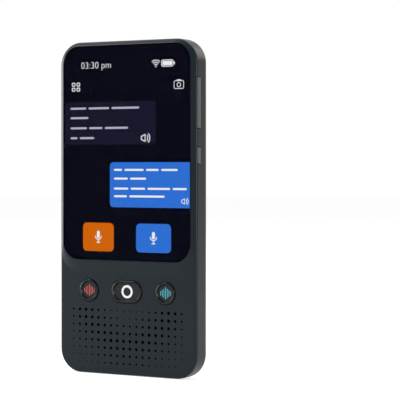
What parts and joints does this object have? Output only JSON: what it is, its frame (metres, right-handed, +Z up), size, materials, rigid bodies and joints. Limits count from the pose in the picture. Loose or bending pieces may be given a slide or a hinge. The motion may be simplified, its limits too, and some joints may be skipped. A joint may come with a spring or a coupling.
{
  "type": "handheld translator",
  "caption": "Slim pocket translator with a tall touch screen in a raised frame, a row of push buttons over a wave-pattern speaker grille, side keys and a camera on a flared bump.",
  "frame": {"origin": "middle of the flat bottom end, on the surface that the part stands on, halfway through its whole depth", "axes": "+Z up along the height, -Y out of the screen, +Y out of the camera, +X to the right seen from the front"},
  "size_m": [0.068, 0.0158, 0.14],
  "materials": {
    "front_plastic": "fine-grained matt charcoal",
    "back_plastic": "satin slate grey",
    "frame_plastic": "plain moulded black",
    "cover_glass": "polished",
    "display": "lit display behind glass",
    "adhesive": "thin black tape",
    "flex_circuit": "amber film",
    "cap_plastic": "satin black",
    "red_inlay": "coloured inlay",
    "teal_inlay": "coloured inlay",
    "white_inlay": "coloured inlay",
    "switch_plastic": "moulded",
    "plunger_plastic": "moulded",
    "key_plastic": "satin grey",
    "circuit_board": "green solder mask",
    "tin_plate": "tin plate",
    "steel": "plated",
    "battery_foil": "laminated foil pouch",
    "speaker_plastic": "moulded",
    "foam": "closed-cell foam",
    "mesh": "acoustic mesh",
    "camera_body": "moulded",
    "camera_lens": "blue coating",
    "camera_window": "polished, black border",
    "trim_metal": "turned and polished",
    "jack_plastic": "moulded"
  },
  "bodies": {
    "handset": {"front_housing": "front_plastic", "back_shell": "back_plastic", "mid_frame": "frame_plastic", "chassis_screws": "steel", "screen_glass": "cover_glass", "glass_adhesive": "adhesive", "display_panel": "display", "display_flex": "flex_circuit", "front_switches": "switch_plastic", "button_board": "circuit_board", "side_switches": "switch_plastic", "side_key_board": "flex_circuit", "main_board": "circuit_board", "shield_cans": "tin_plate", "io_board": "circuit_board", "board_link_flex": "flex_circuit", "wifi_antenna": "flex_circuit", "battery": "battery_foil", "battery_tape": "adhesive", "battery_lead": "adhesive", "battery_socket": "plunger_plastic", "loudspeaker": "speaker_plastic", "speaker_gasket": "foam", "speaker_mesh": "mesh", "camera_module": "camera_body", "camera_lens": "camera_lens", "camera_gasket": "foam", "camera_window": "camera_window", "camera_trim_ring": "trim_metal", "usb_c_shell": "steel", "usb_c_tongue": "switch_plastic", "headphone_jack": "jack_plastic", "microphones": "tin_plate"},
    "left_press": {"left_button": "cap_plastic", "left_wave_inlay": "red_inlay", "left_switch_plunger": "plunger_plastic"},
    "home_press": {"home_button": "cap_plastic", "home_ring_inlay": "white_inlay", "home_switch_plunger": "plunger_plastic"},
    "right_press": {"right_button": "cap_plastic", "right_wave_inlay": "teal_inlay", "right_switch_plunger": "plunger_plastic"},
    "volume_press": {"volume_rocker": "key_plastic", "volume_switch_plungers": "plunger_plastic"},
    "power_press": {"power_key": "key_plastic", "power_switch_plunger": "plunger_plastic"}
  },
  "joints": [
    {"name": "left_button_travel", "type": "slide", "parent": "handset", "child": "left_press", "axis": [0, 1, 0], "range_m": [0, 0.00035], "stiffness_N_per_m": 900, "springref_m": -0.0006},
    {"name": "home_button_travel", "type": "slide", "parent": "handset", "child": "home_press", "axis": [0, 1, 0], "range_m": [0, 0.00035], "stiffness_N_per_m": 900, "springref_m": -0.0006},
    {"name": "right_button_travel", "type": "slide", "parent": "handset", "child": "right_press", "axis": [0, 1, 0], "range_m": [0, 0.00035], "stiffness_N_per_m": 900, "springref_m": -0.0006},
    {"name": "power_key_travel", "type": "slide", "parent": "handset", "child": "power_press", "axis": [-1, 0, 0], "range_m": [0, 0.0003], "stiffness_N_per_m": 900, "springref_m": -0.0006},
    {"name": "volume_rocker_tilt", "type": "hinge", "parent": "handset", "child": "volume_press", "pos_m": [0.03145, -0.0036, 0.11345], "axis": [0, 1, 0], "range_deg": [-1.2, 1.2], "stiffness_Nm_per_rad": 0.1}
  ]
}
